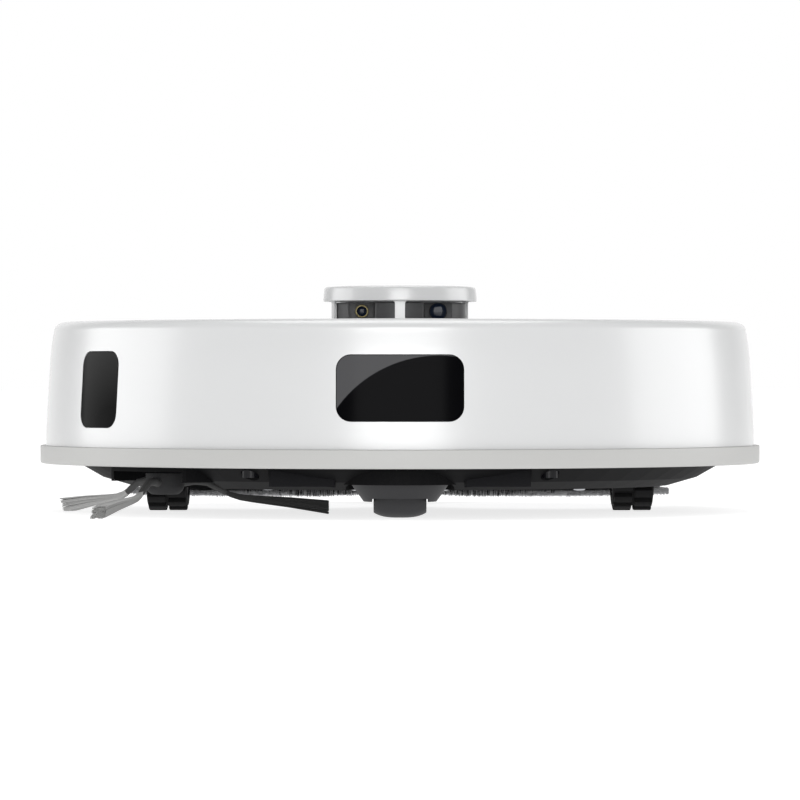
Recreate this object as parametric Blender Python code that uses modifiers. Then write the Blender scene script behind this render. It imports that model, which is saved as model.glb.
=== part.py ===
"""A round robot floor cleaner: lidar turret, sprung bumper, roller brush, side brush and two mops.

The front of the machine faces -Y, its own left is +X, and the floor is z = 0. Sizes are in metres.
"""

import math

import bmesh
import bpy
from mathutils import Matrix, Vector

MM = 0.001
GAP = 0.3 * MM  # left between pieces that touch
WALL = 2.5 * MM

# Body of revolution
SKIRT_RADIUS = 175 * MM
BODY_RADIUS = 172.3 * MM
CORE_RADIUS = 160 * MM  # the fixed wall behind the bumper
EDGE_RADIUS = 163.5 * MM  # where the rounded top edge meets the flat deck
SKIRT_BOTTOM = 23.2 * MM
SHELL_BOTTOM = 32.2 * MM
CORE_SPLIT = 41 * MM  # pan wall below, shell wall above
DECK_TOP = 91.4 * MM
DECK_BOTTOM = DECK_TOP - WALL
PAN_BOTTOM = 12.6 * MM
PAN_TOP = PAN_BOTTOM + WALL

# Where the main groups stand
TURRET = Vector((0, 40 * MM))
CAP_LOW = 102.4 * MM
CAP_HIGH = 110.3 * MM
ROTOR_RADIUS = 32.6 * MM
ROTOR_LOW = 77 * MM
ROTOR_HIGH = 101.8 * MM
BELT_RADIUS = 27 * MM
BELT_Z = 81.2 * MM
WHEEL_X = 113 * MM
WHEEL_Y = 0 * MM
WHEEL_RADIUS = 34 * MM
WHEEL_Z = WHEEL_RADIUS
WHEEL_WIDTH = 19.6 * MM
ARM_X = 98 * MM
PIVOT_Y = -52 * MM
PIVOT_Z = 40 * MM
BRUSH_Y = -50 * MM
BRUSH_Z = 30 * MM
BRUSH_RADIUS = 22.4 * MM
CASTER_Y = -130 * MM
CASTER_RADIUS = 10 * MM
SIDE_BRUSH = Vector((-110 * MM, -96 * MM))
MOP_X = 71 * MM
MOP_Y = 86 * MM
MOP_RADIUS = 65 * MM
MOP_BOTTOM = 5.9 * MM
BUTTON_X = 60 * MM
BUTTON_Y = 28 * MM
BUTTON_RADIUS = 7 * MM
LID_RADIUS = 150 * MM
LID_REAR = -8.5 * MM
LID_ROOM_REAR = -4.8 * MM  # the hinge pin shows between the lid and this edge of the deck
HINGE_Y = -7 * MM
HINGE_Z = 90 * MM
BUMPER_REAR = -2 * MM  # the bumper ends here, and the rear wall starts at the next value
WALL_FRONT = 1.8 * MM

FAR = 0.4  # reaches past the whole machine, for cutters
ROUND_STEPS = 64
SMALL_STEPS = 24


# ---------------------------------------------------------------- helpers


def collection(name):
    made = bpy.data.collections.new(name)
    bpy.context.scene.collection.children.link(made)
    return made


def material(name, colour, roughness, metallic=0.0):
    made = bpy.data.materials.new(name)
    made.use_nodes = True
    shader = made.node_tree.nodes["Principled BSDF"]
    shader.inputs["Base Color"].default_value = (*colour, 1)
    shader.inputs["Roughness"].default_value = roughness
    shader.inputs["Metallic"].default_value = metallic
    return made


def add_object(name, mesh, place, finish):
    """A part when it is given a finish, a hidden cutter when it is not."""
    made = bpy.data.objects.new(name, mesh)
    made.location = place
    if finish is None:
        CUTTERS.objects.link(made)
        made.hide_render = True
        made.display_type = "WIRE"
    else:
        mesh.materials.append(material(name, *finish))
        PARTS.objects.link(made)
    return made


def from_bmesh(name, shape, place, finish):
    bmesh.ops.recalc_face_normals(shape, faces=shape.faces)
    mesh = bpy.data.meshes.new(name)
    shape.to_mesh(mesh)
    shape.free()
    return add_object(name, mesh, place, finish)


def smooth(part, degrees=35):
    part.data.shade_smooth()
    part.data.set_sharp_from_angle(angle=math.radians(degrees))
    return part


def box(name, low, high, finish=None, origin=None, corner=0.0):
    """A box between two corners. Its upright edges are rounded when a corner radius is given."""
    low, high = Vector(low), Vector(high)
    origin = Vector(origin) if origin is not None else (low + high) / 2
    size = Matrix.Diagonal((*(high - low), 1))
    shape = bmesh.new()
    bmesh.ops.create_cube(shape, size=1, matrix=Matrix.Translation((low + high) / 2 - origin) @ size)
    if corner:
        upright = [e for e in shape.edges if abs((e.verts[0].co - e.verts[1].co).z) > corner / 10]
        bmesh.ops.bevel(shape, geom=upright, offset=corner, segments=4, profile=0.5, affect="EDGES")
    return from_bmesh(name, shape, origin, finish)


def rod(name, centre, radius, length, axis="Z", finish=None, steps=SMALL_STEPS, end_radius=None):
    """A cylinder (or cone) round an axis, with its origin at its middle."""
    turn = {
        "X": Matrix.Rotation(math.pi / 2, 4, "Y"),
        "Y": Matrix.Rotation(-math.pi / 2, 4, "X"),
        "Z": Matrix.Identity(4),
    }[axis]
    shape = bmesh.new()
    bmesh.ops.create_cone(
        shape,
        cap_ends=True,
        segments=steps,
        radius1=radius,
        radius2=radius if end_radius is None else end_radius,
        depth=length,
        matrix=turn,
    )
    return smooth(from_bmesh(name, shape, centre, finish))


def revolve(name, outline, place=(0, 0, 0), axis="Z", finish=None, steps=ROUND_STEPS):
    """Turns an outline of (radius, height) points about an axis. Outlines are closed loops,
    unless they begin and end on the axis."""
    mesh = bpy.data.meshes.new(name)
    edges = [(i, i + 1) for i in range(len(outline) - 1)]
    if outline[0][0] > 0:
        edges.append((len(outline) - 1, 0))
    mesh.from_pydata([(radius, 0, height) for radius, height in outline], edges, [])
    part = add_object(name, mesh, place, finish)
    screw = part.modifiers.new("turned", "SCREW")
    screw.axis = "Z"
    screw.steps = screw.render_steps = steps
    screw.use_merge_vertices = True
    screw.merge_threshold = 0.00001
    screw.use_smooth_shade = True
    if axis == "X":
        part.rotation_euler = (0, math.pi / 2, 0)
    return part


def loft(name, rings, place, finish):
    """Joins rings of the same number of points into one closed skin."""
    shape = bmesh.new()
    loops = [[shape.verts.new(point) for point in ring] for ring in rings]
    count = len(loops[0])
    for near, far in zip(loops, loops[1:]):
        for i in range(count):
            j = (i + 1) % count
            shape.faces.new((near[i], near[j], far[j], far[i]))
    shape.faces.new(reversed(loops[0]))
    shape.faces.new(loops[-1])
    return smooth(from_bmesh(name, shape, place, finish))


def coil(name, points, wire_radius, finish, closed=False):
    """A wire through the points, turned into a mesh with welded end caps."""
    curve = bpy.data.curves.new(name, "CURVE")
    curve.dimensions = "3D"
    curve.bevel_depth = wire_radius
    curve.bevel_resolution = 2
    curve.use_fill_caps = not closed
    line = curve.splines.new("POLY")
    line.points.add(len(points) - 1)
    for spot, point in zip(line.points, points):
        spot.co = (*point, 1)
    line.use_cyclic_u = closed
    path = bpy.data.objects.new(name + "_path", curve)
    bpy.context.scene.collection.objects.link(path)
    bpy.context.view_layer.update()
    mesh = bpy.data.meshes.new_from_object(path.evaluated_get(bpy.context.evaluated_depsgraph_get()))
    bpy.data.objects.remove(path)
    shape = bmesh.new()
    shape.from_mesh(mesh)
    bmesh.ops.remove_doubles(shape, verts=shape.verts, dist=wire_radius / 100)
    return smooth(from_bmesh(name, shape, (0, 0, 0), finish))


def combine(part, tool, how):
    change = part.modifiers.new(how.lower(), "BOOLEAN")
    change.operation = how
    change.solver = "EXACT"
    change.object = tool


def cut(part, *tools):
    for tool in tools:
        combine(part, tool, "DIFFERENCE")


def join(part, *tools):
    for tool in tools:
        combine(part, tool, "UNION")


def span(side, inner, outer):
    """Low and high X of something between two distances out, on the left (1) or the right (-1)."""
    return sorted((side * inner, side * outer))


def front_half(name, behind):
    """Everything in front of the plane Y = behind."""
    return box(name, (-FAR, -FAR, -FAR), (FAR, behind, FAR))


def rear_half(name, front):
    return box(name, (-FAR, front, -FAR), (FAR, FAR, FAR))


# ---------------------------------------------------------------- finishes: colour, roughness, metal

WHITE = ((0.82, 0.83, 0.84), 0.35)
LIGHT_GREY = ((0.58, 0.58, 0.58), 0.5)
BLACK = ((0.02, 0.02, 0.022), 0.6)
GLOSS_BLACK = ((0.012, 0.012, 0.014), 0.12)
SMOKE = ((0.03, 0.03, 0.035), 0.2)
CHARCOAL = ((0.06, 0.06, 0.065), 0.55)
RUBBER = ((0.03, 0.03, 0.03), 0.8)
STEEL = ((0.55, 0.56, 0.58), 0.3, 1.0)
BRASS = ((0.7, 0.5, 0.25), 0.3, 1.0)
GLASS = ((0.08, 0.12, 0.2), 0.08)
BOARD = ((0.02, 0.12, 0.06), 0.5)
BATTERY = ((0.05, 0.1, 0.2), 0.45)
FELT = ((0.4, 0.4, 0.41), 0.95)
PAPER = ((0.75, 0.74, 0.7), 0.9)


# ---------------------------------------------------------------- outer body


def wall_outline(low):
    """The bowed side wall and rounded top edge, from the deck down to a level, then up inside."""
    inside = BODY_RADIUS - WALL
    return [
        (EDGE_RADIUS, DECK_TOP),
        (EDGE_RADIUS + 2.6 * MM, DECK_TOP - 0.9 * MM),
        (EDGE_RADIUS + 4.9 * MM, DECK_TOP - 3.4 * MM),
        (169.7 * MM, 83 * MM),
        (171.0 * MM, 64 * MM),
        (BODY_RADIUS, 40 * MM),
        (BODY_RADIUS, low),
        (inside, low),
        (inside, 40 * MM),
        (168.5 * MM, 64 * MM),
        (167.2 * MM, 82 * MM),
        (EDGE_RADIUS + 2 * MM, DECK_BOTTOM - 1.2 * MM),
        (EDGE_RADIUS, DECK_BOTTOM),
    ]


def chassis_pan():
    """The black underbody: a dished floor, an upright rim, and raised seats for caster and brush."""
    rim = CORE_RADIUS - WALL
    pan = revolve(
        "chassis_pan",
        [
            (0, PAN_TOP),
            (129 * MM, PAN_TOP),
            (rim, 27 * MM),
            (rim, CORE_SPLIT - GAP),
            (CORE_RADIUS, CORE_SPLIT - GAP),
            (CORE_RADIUS, 25.5 * MM),
            (153.4 * MM, 21.6 * MM),
            (144.5 * MM, 16.5 * MM),
            (131 * MM, PAN_BOTTOM),
            (0, PAN_BOTTOM),
        ],
        finish=BLACK,
    )
    caster_seat = rod("cut_caster_seat", (0, CASTER_Y, 21 * MM), 27.3 * MM, 11 * MM, steps=36)
    caster_post = rod("cut_caster_post", (0, CASTER_Y, 28 * MM), 17.5 * MM, 12 * MM)
    brush_seat = rod("cut_brush_seat", (*SIDE_BRUSH, 19.5 * MM), 30 * MM, 7 * MM, steps=36)
    fit_inside = rod("cut_fit_inside", (0, 0, 21 * MM), 158.5 * MM, 40 * MM, steps=ROUND_STEPS)
    for seat in (caster_seat, brush_seat):
        combine(seat, fit_inside, "INTERSECT")
    brackets = []  # two uprights hold each pivot pin, inside the spring and outside the arm
    for side in (-1, 1):
        for inner, outer in ((81.2 * MM, 83.2 * MM), (102.6 * MM, 106 * MM)):
            low_x, high_x = span(side, inner, outer)
            brackets.append(
                box(
                    f"cut_bracket_{low_x:.4f}",
                    (low_x, PIVOT_Y - 6 * MM, PAN_TOP - 1 * MM),
                    (high_x, PIVOT_Y + 5 * MM, PIVOT_Z + 6 * MM),
                )
            )
    join(pan, caster_seat, caster_post, brush_seat, *brackets)
    cut(
        pan,
        rod("cut_caster_well", (0, CASTER_Y, 0), 25.3 * MM, 2 * 19.2 * MM, steps=36),
        rod("cut_caster_dome", (0, CASTER_Y, 10 * MM), 15.4 * MM, 2 * 14.6 * MM),
        rod("cut_caster_stem", (0, CASTER_Y, 30 * MM), 3.8 * MM, 20 * MM),
        rod("cut_brush_well", (*SIDE_BRUSH, 0), 28 * MM, 2 * 20.7 * MM, steps=36),
        rod("cut_brush_shaft", (*SIDE_BRUSH, 22 * MM), 3.2 * MM, 10 * MM),
        box("cut_roller_mouth", (-76.5 * MM, -74 * MM, 0), (76.5 * MM, -26 * MM, 20 * MM)),
    )
    for side in (-1, 1):
        low_x, high_x = span(side, 90 * MM, 127 * MM)
        cut(
            pan,
            box(
                f"cut_wheel_well_{side}",
                (low_x, WHEEL_Y - 35.5 * MM, 0),
                (high_x, WHEEL_Y + 37 * MM, 25 * MM),
            ),
            rod(f"cut_mop_hole_{side}", (side * MOP_X, MOP_Y, PAN_BOTTOM), 9 * MM, 20 * MM),
            rod(f"cut_pivot_{side}", (side * 94 * MM, PIVOT_Y, PIVOT_Z), 2.8 * MM, 30 * MM, "X"),
            rod(f"cut_cliff_{side}", (*cliff_place(side), 20 * MM), 4.3 * MM, 20 * MM),
            contact_room(side),
        )


def cliff_place(side):
    return side * 69 * MM, -133 * MM


def contact_corners(side):
    low_x, high_x = span(side, 30 * MM, 60 * MM)
    return (low_x, -143 * MM, 14.6 * MM), (high_x, -133 * MM, 24 * MM)


def contact_room(side):
    """The hole a charging contact sits in, open below."""
    low, high = contact_corners(side)
    return box(
        f"cut_contact_{side}",
        (low[0] - GAP, low[1] - GAP, 0),
        (high[0] + GAP, high[1] + GAP, high[2] + GAP),
    )


def upper_shell():
    """The white rear wall and deck in one moulding, with a fixed inner wall all the way round."""
    core_inside = CORE_RADIUS - WALL
    outline = [(0, DECK_TOP), *wall_outline(SHELL_BOTTOM)]
    outline += [
        (CORE_RADIUS, DECK_BOTTOM),
        (CORE_RADIUS, CORE_SPLIT),
        (core_inside, CORE_SPLIT),
        (core_inside, DECK_BOTTOM),
        (0, DECK_BOTTOM),
    ]
    shell = revolve("upper_shell", outline, finish=WHITE)
    bumper_room = revolve(
        "cut_bumper_room",
        [(CORE_RADIUS + GAP, 0.12), (FAR, 0.12), (FAR, 0), (CORE_RADIUS + GAP, 0)],
    )
    combine(bumper_room, front_half("cut_ahead_of_shell", WALL_FRONT), "INTERSECT")
    lid_room = rod("cut_lid_room", (0, 0, DECK_TOP), LID_RADIUS + 0.4 * MM, 20 * MM, steps=ROUND_STEPS)
    combine(lid_room, front_half("cut_ahead_of_hinge", LID_ROOM_REAR), "INTERSECT")
    cut(
        shell,
        bumper_room,
        lid_room,
        rod("cut_turret_hole", (*TURRET, DECK_TOP), ROTOR_RADIUS + 2 * GAP, 20 * MM, steps=40),
    )
    for side in (-1, 1):
        hole = BUTTON_RADIUS + 0.4 * MM
        cut(shell, rod(f"cut_button_{side}", (side * BUTTON_X, BUTTON_Y, DECK_TOP), hole, 20 * MM))


def skirt_outline(inner):
    return [
        (SKIRT_RADIUS - 0.8 * MM, SHELL_BOTTOM - GAP),
        (SKIRT_RADIUS, SHELL_BOTTOM - 1.2 * MM),
        (SKIRT_RADIUS, SKIRT_BOTTOM + 1.2 * MM),
        (SKIRT_RADIUS - 1 * MM, SKIRT_BOTTOM),
        (inner, SKIRT_BOTTOM),
        (inner, SHELL_BOTTOM - GAP),
    ]


def rear_skirt():
    skirt = revolve("rear_skirt", skirt_outline(CORE_RADIUS + GAP), finish=LIGHT_GREY)
    combine(skirt, rear_half("cut_rear_skirt", WALL_FRONT), "INTERSECT")


def bumper_skirt():
    skirt = revolve("bumper_skirt", skirt_outline(CORE_RADIUS + 6.5 * MM), finish=LIGHT_GREY)
    combine(skirt, front_half("cut_bumper_skirt", BUMPER_REAR), "INTERSECT")


WINDOWS = {
    "front_window": {"azimuth": 0, "width": 57.5 * MM, "low": 44.9 * MM, "high": 74.8 * MM},
    "side_window": {"azimuth": -55.65, "width": 31.9 * MM, "low": 41.4 * MM, "high": 76.7 * MM},
}


def window_block(name, azimuth, width, low, high, margin=0.0):
    """A rounded block that runs outward through the wall at an azimuth from straight ahead."""
    half = width / 2 + margin
    tall = (high - low) / 2 + margin
    block = box(name, (-half, -tall, -20 * MM), (half, tall, 20 * MM), corner=6.5 * MM)
    bearing = math.radians(azimuth)
    outward = Vector((math.sin(bearing), -math.cos(bearing), 0))
    upright = Matrix.Rotation(bearing, 4, "Z") @ Matrix.Rotation(math.pi / 2, 4, "X")
    middle = outward * BODY_RADIUS + Vector((0, 0, (low + high) / 2))
    block.matrix_world = Matrix.Translation(middle) @ upright
    return block


def bumper_shell():
    bumper = revolve("bumper_shell", wall_outline(SHELL_BOTTOM), finish=WHITE)
    combine(bumper, front_half("cut_bumper", BUMPER_REAR), "INTERSECT")
    for name, size in WINDOWS.items():
        cut(bumper, window_block(f"cut_hole_{name}", **size, margin=GAP))


def bumper_windows():
    for name, size in WINDOWS.items():
        pane = revolve(name, wall_outline(SHELL_BOTTOM), finish=GLOSS_BLACK)
        combine(pane, window_block(f"cut_{name}", **size), "INTERSECT")


def bumper_springs():
    """Short compression springs between the fixed wall and the bumper."""
    turns, per_turn, radius, wire = 3, 8, 3 * MM, 0.35 * MM
    spring_x, spring_z = 55 * MM, 60 * MM
    start, end = -157.8 * MM, -151.9 * MM
    for side, name in ((-1, "bumper_spring_right"), (1, "bumper_spring_left")):
        points = []
        for i in range(turns * per_turn + 1):
            angle = 2 * math.pi * i / per_turn
            share = i / (turns * per_turn)
            points.append(
                (
                    side * spring_x + radius * math.cos(angle),
                    start + (end - start) * share,
                    spring_z + radius * math.sin(angle),
                )
            )
        coil(name, points, wire, STEEL)


# ---------------------------------------------------------------- deck: lid, buttons, turret


def top_lid():
    """The front half of a disc, with a finger notch at its front edge, turning on a rear pin."""
    lid = rod("top_lid", (0, HINGE_Y, HINGE_Z), LID_RADIUS, WALL, finish=WHITE, steps=ROUND_STEPS)
    lid.data.transform(Matrix.Translation((0, -HINGE_Y, DECK_TOP - WALL / 2 - HINGE_Z)))
    combine(lid, front_half("cut_lid", LID_REAR), "INTERSECT")
    cut(lid, rod("cut_lid_notch", (0, -LID_RADIUS, DECK_BOTTOM), 9 * MM, 2 * MM))
    rod("lid_hinge_pin", (0, HINGE_Y, HINGE_Z), 1.1 * MM, 230 * MM, "X", STEEL, steps=12)


def buttons():
    for side, name in ((-1, "power_button"), (1, "dock_button")):
        revolve(
            name,
            [
                (0, 0.9 * MM),
                (BUTTON_RADIUS - 0.8 * MM, 0.7 * MM),
                (BUTTON_RADIUS, 0),
                (BUTTON_RADIUS, -6 * MM),
                (0, -6 * MM),
            ],
            (side * BUTTON_X, BUTTON_Y, DECK_TOP),
            finish=LIGHT_GREY,
            steps=SMALL_STEPS,
        )


def lds_guard():
    """The fixed turret cap, carried on four pillars above a base ring."""
    cap = revolve(
        "lds_guard",
        [
            (0, CAP_HIGH),
            (30 * MM, CAP_HIGH - 0.4 * MM),
            (36.7 * MM, CAP_HIGH - 0.9 * MM),
            (37.7 * MM, CAP_HIGH - 2 * MM),
            (38.2 * MM, CAP_LOW),
            (0, CAP_LOW),
        ],
        (*TURRET, 0),
        finish=WHITE,
        steps=40,
    )
    inner, outer = ROTOR_RADIUS + GAP, 34.3 * MM
    ring_low, ring_high = DECK_TOP + GAP, DECK_TOP + 2.4 * MM
    ring = revolve(
        "cut_turret_ring",
        [(outer, ring_high), (36 * MM, ring_low), (inner, ring_low), (inner, ring_high)],
        (*TURRET, 0),
        steps=40,
    )
    join(cap, ring)
    bury = 1 * MM  # how far each pillar runs into the ring and the cap
    for degrees in (0, -76, 104, 180):
        pillar = box(
            f"cut_pillar_{degrees}",
            (-2.5 * MM, -outer + 0.1 * MM, ring_high - bury),
            (2.5 * MM, -inner - 0.1 * MM, CAP_LOW + bury),
            origin=(0, 0, 0),
        )
        turn = Matrix.Rotation(math.radians(degrees), 4, "Z")
        pillar.matrix_world = Matrix.Translation((*TURRET, 0)) @ turn
        join(cap, pillar)


LENSES = {  # distance to the left of the scan head's axis, radius, finish
    "lds_emitter_lens": (-18.75 * MM, 3.3 * MM, BRASS),
    "lds_receiver_lens": (18.75 * MM, 4.4 * MM, GLASS),
}
LENS_Z = 97.3 * MM
LENS_LENGTH = 2 * MM
RECESS_Y = TURRET.y - 20.5 * MM  # the back of both lens recesses


def lds_rotor():
    """The spinning scan head: a drum with two forward lenses and a belt groove under the deck."""
    groove_low, groove_high = BELT_Z - 1.7 * MM, BELT_Z + 1.8 * MM
    rotor = revolve(
        "lds_rotor",
        [
            (0, ROTOR_HIGH - ROTOR_LOW),
            (ROTOR_RADIUS, ROTOR_HIGH - ROTOR_LOW),
            (ROTOR_RADIUS, groove_high + 1 * MM - ROTOR_LOW),
            (BELT_RADIUS, groove_high - ROTOR_LOW),
            (BELT_RADIUS, groove_low - ROTOR_LOW),
            (ROTOR_RADIUS, groove_low - 1 * MM - ROTOR_LOW),
            (ROTOR_RADIUS, 0),
            (0, 0),
        ],
        (*TURRET, ROTOR_LOW),
        finish=SMOKE,
        steps=40,
    )
    cut(rotor, rod("cut_rotor_hollow", (*TURRET, ROTOR_LOW), 22 * MM, 40 * MM, steps=32))
    for name, (across, radius, finish) in LENSES.items():
        half_width, half_height = radius + 1.6 * MM, 5 * MM
        recess = box(
            f"cut_{name}",
            (across - half_width, RECESS_Y - ROTOR_RADIUS, LENS_Z - half_height),
            (across + half_width, RECESS_Y, LENS_Z + half_height),
        )
        cut(rotor, recess)
        rod(name, (across, RECESS_Y - GAP - LENS_LENGTH / 2, LENS_Z), radius, LENS_LENGTH, "Y", finish)


def lds_drive():
    """The motor, its pulley and the belt that turns the scan head."""
    motor = Vector((35 * MM, 76 * MM))
    rod("lds_motor", (*motor, 66.5 * MM), 8 * MM, 18 * MM, finish=STEEL)
    rod("lds_motor_pulley", (*motor, 80.5 * MM), 5 * MM, 7.5 * MM, finish=CHARCOAL)
    wire = 0.7 * MM
    big, small = BELT_RADIUS + wire + GAP, 5 * MM + wire + GAP
    across = motor - TURRET
    lean = math.acos((big - small) / across.length)
    heading = math.atan2(across.y, across.x)
    points = []
    for centre, radius, start, sweep, count in (
        (TURRET, big, heading + lean, 2 * math.pi - 2 * lean, 18),
        (motor, small, heading - lean, 2 * lean, 5),
    ):
        for i in range(count + 1):
            angle = start + sweep * i / count
            around = Vector((math.cos(angle), math.sin(angle)))
            points.append((*(centre + radius * around), BELT_Z))
    coil("lds_belt", points, wire, RUBBER, closed=True)


# ---------------------------------------------------------------- inside


def boards_and_battery():
    box("main_board", (-60 * MM, 85 * MM, 60 * MM), (15 * MM, 140 * MM, 61.6 * MM), BOARD)
    box("battery_pack", (24 * MM, -127 * MM, 27 * MM), (86 * MM, -80 * MM, 56.5 * MM), BATTERY)


def suction_fan():
    """The fan and its motor in one round case, with an inlet eye that faces the dust bin."""
    middle, radius, length = Vector((0, -1 * MM, 52 * MM)), 21 * MM, 36 * MM
    front = middle - Vector((0, length / 2, 0))
    fan = rod("suction_fan", middle, radius, length, "Y", CHARCOAL)
    join(fan, box("cut_fan_foot", (-14 * MM, -14 * MM, PAN_TOP + GAP), (14 * MM, 12 * MM, 40 * MM)))
    cut(fan, rod("cut_fan_eye", front, 10 * MM, 8 * MM, "Y"))


def side_brush_gearbox():
    """A round gearbox over the side brush, with its motor beside it in the same case."""
    low, high = 27.3 * MM, 48 * MM
    middle = (*SIDE_BRUSH, (low + high) / 2)
    gearbox = rod("side_brush_gearbox", middle, 10.6 * MM, high - low, finish=CHARCOAL)
    corner = SIDE_BRUSH + Vector((1 * MM, -6 * MM))
    motor = box(
        "cut_side_motor",
        (*corner, low + 1 * MM),
        (corner.x + 20 * MM, corner.y + 22 * MM, high - 2 * MM),
    )
    join(gearbox, motor)
    cut(gearbox, rod("cut_side_shaft", (*SIDE_BRUSH, low), 3 * MM, 16 * MM))


def contacts_and_cliff_windows():
    for side, word in ((-1, "right"), (1, "left")):
        box(f"charging_contact_{word}", *contact_corners(side), STEEL)
        rod(f"cliff_window_{word}", (*cliff_place(side), 21 * MM), 4 * MM, 5 * MM, finish=GLOSS_BLACK)


# ---------------------------------------------------------------- roller brush and dust bin

FRAME_X = 80 * MM
FRAME_HIGH = 56 * MM
ROLLER_X = 74 * MM
STUB_RADIUS = 4 * MM
BEARING_RADIUS = 8 * MM
BEARING_X = -77.8 * MM


def brush_frame():
    """The housing over the roller, open below, with a throat up to the dust bin."""
    depth = 28 * MM  # from the roller's axis to the housing's front and rear faces
    frame = box(
        "brush_frame",
        (-FRAME_X, BRUSH_Y - depth, PAN_TOP + GAP),
        (FRAME_X, BRUSH_Y + depth, FRAME_HIGH),
        CHARCOAL,
    )
    room, room_x = BRUSH_RADIUS + 2.2 * MM, ROLLER_X + 1.6 * MM
    cut(
        frame,
        rod("cut_roller_room", (0, BRUSH_Y, BRUSH_Z), room, 2 * room_x, "X", steps=32),
        box("cut_roller_below", (-room_x, BRUSH_Y - room, 0), (room_x, BRUSH_Y + room, BRUSH_Z)),
        box("cut_throat", (-28 * MM, -62 * MM, 45 * MM), (28 * MM, -44 * MM, FRAME_HIGH + 4 * MM)),
        rod("cut_roller_shaft", (77 * MM, BRUSH_Y, BRUSH_Z), STUB_RADIUS + GAP, 12 * MM, "X"),
        rod("cut_roller_bearing", (-77 * MM, BRUSH_Y, BRUSH_Z), BEARING_RADIUS + GAP, 12 * MM, "X"),
    )


def roller_ring(along, turn, tip, base):
    """One section of the roller: five narrow blades standing on a round core."""
    points = []
    blades, thick = 5, math.radians(4)
    for blade in range(blades):
        middle = turn + 2 * math.pi * blade / blades
        half = math.pi / blades
        for radius, angle in (
            (base, middle - half),
            (base, middle - 2 * thick),
            (tip, middle - thick),
            (tip, middle + thick),
            (base, middle + 2 * thick),
        ):
            points.append((along, radius * math.cos(angle), radius * math.sin(angle)))
    return points


def brush_roller():
    """Bristle blades wound in a V about the middle of the roller, with a plain stub at each end."""
    core, spans, wind = 13 * MM, 8, math.radians(100)
    stub_left, stub_right = 79.5 * MM, -78.6 * MM
    rings = [
        roller_ring(stub_right, 0, STUB_RADIUS, STUB_RADIUS),
        roller_ring(-ROLLER_X - GAP, 0, STUB_RADIUS, STUB_RADIUS),
    ]
    for i in range(spans + 1):
        along = -ROLLER_X + 2 * ROLLER_X * i / spans
        rings.append(roller_ring(along, wind * abs(along) / ROLLER_X, BRUSH_RADIUS, core))
    rings += [
        roller_ring(ROLLER_X + GAP, 0, STUB_RADIUS, STUB_RADIUS),
        roller_ring(stub_left, 0, STUB_RADIUS, STUB_RADIUS),
    ]
    loft("brush_roller", rings, (0, BRUSH_Y, BRUSH_Z), CHARCOAL)


def brush_end_bearing():
    half, bore = 1.7 * MM, STUB_RADIUS + GAP
    revolve(
        "brush_end_bearing",
        [(BEARING_RADIUS, half), (BEARING_RADIUS, -half), (bore, -half), (bore, half)],
        (BEARING_X, BRUSH_Y, BRUSH_Z),
        "X",
        STEEL,
        steps=SMALL_STEPS,
    )


def brush_gearbox():
    box("brush_gearbox", (FRAME_X + GAP, -79 * MM, 16 * MM), (91 * MM, -60 * MM, 48 * MM), CHARCOAL)


BIN = {"x": 78 * MM, "front": -131 * MM, "back": -24 * MM, "low": 57 * MM, "high": 83.6 * MM}


def dust_bin():
    thick = 1.6 * MM
    bin_ = box(
        "dust_bin",
        (-BIN["x"], BIN["front"], BIN["low"]),
        (BIN["x"], BIN["back"], BIN["high"]),
        SMOKE,
        corner=8 * MM,
    )
    cut(
        bin_,
        box(
            "cut_bin_room",
            (-BIN["x"] + thick, BIN["front"] + thick, BIN["low"] + thick),
            (BIN["x"] - thick, BIN["back"] - thick, FAR),
            corner=7 * MM,
        ),
        box("cut_bin_inlet", (-26 * MM, -60 * MM, 50 * MM), (26 * MM, -46 * MM, 65 * MM)),
        box("cut_bin_outlet", (-24 * MM, -30 * MM, 63 * MM), (24 * MM, -20 * MM, 79 * MM)),
    )
    cover = BIN["high"] + GAP
    box(
        "dust_bin_cover",
        (-BIN["x"], BIN["front"], cover),
        (BIN["x"], BIN["back"], cover + 1.8 * MM),
        CHARCOAL,
        corner=8 * MM,
    )
    box("dust_filter", (-28 * MM, -32.4 * MM, 60 * MM), (28 * MM, -26 * MM, 82 * MM), PAPER)
    latch_low = cover + 1.8 * MM + GAP
    box("bin_latch", (-10 * MM, -126 * MM, latch_low), (10 * MM, -116 * MM, latch_low + 1.9 * MM), BLACK)


# ---------------------------------------------------------------- side brush


def side_brush():
    hub_low, hub_high, shaft_top = 10 * MM, 20.2 * MM, 33 * MM
    revolve(
        "side_brush_hub",
        [
            (0, shaft_top - hub_low),
            (2.6 * MM, shaft_top - hub_low),
            (2.6 * MM, hub_high - hub_low),
            (9 * MM, hub_high - hub_low),
            (9 * MM, 2 * MM),
            (7 * MM, 0),
            (0, 0),
        ],
        (*SIDE_BRUSH, hub_low),
        finish=RUBBER,
        steps=SMALL_STEPS,
    )
    for number, bearing in enumerate((10, 130, -110), start=1):
        side_brush_tuft(f"side_brush_tuft_{number}", math.radians(bearing))


def side_brush_tuft(name, bearing):
    """A rubber arm that leaves the hub high, dips to the floor and spreads into bristles."""
    along = Vector((math.cos(bearing), math.sin(bearing), 0))
    across = Vector((-along.y, along.x, 0))
    stations = (  # distance from the hub's axis, middle height, half width, half height
        (9.4, 15.5, 2.2, 1.8),
        (18, 15.2, 2.0, 1.7),
        (27, 8.6, 1.8, 1.7),
        (42, 6.2, 2.0, 1.9),
        (60, 4.0, 2.6, 2.7),
        (79, 3.6, 3.2, 3.2),
    )
    rings = []
    for reach, height, half_width, half_height in stations:
        centre = along * reach * MM + Vector((0, 0, height * MM))
        rings.append(
            [
                centre
                + across * half_width * MM * math.cos(step * math.pi / 4)
                + Vector((0, 0, half_height * MM * math.sin(step * math.pi / 4)))
                for step in range(8)
            ]
        )
    loft(name, rings, (*SIDE_BRUSH, 0), CHARCOAL)


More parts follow.
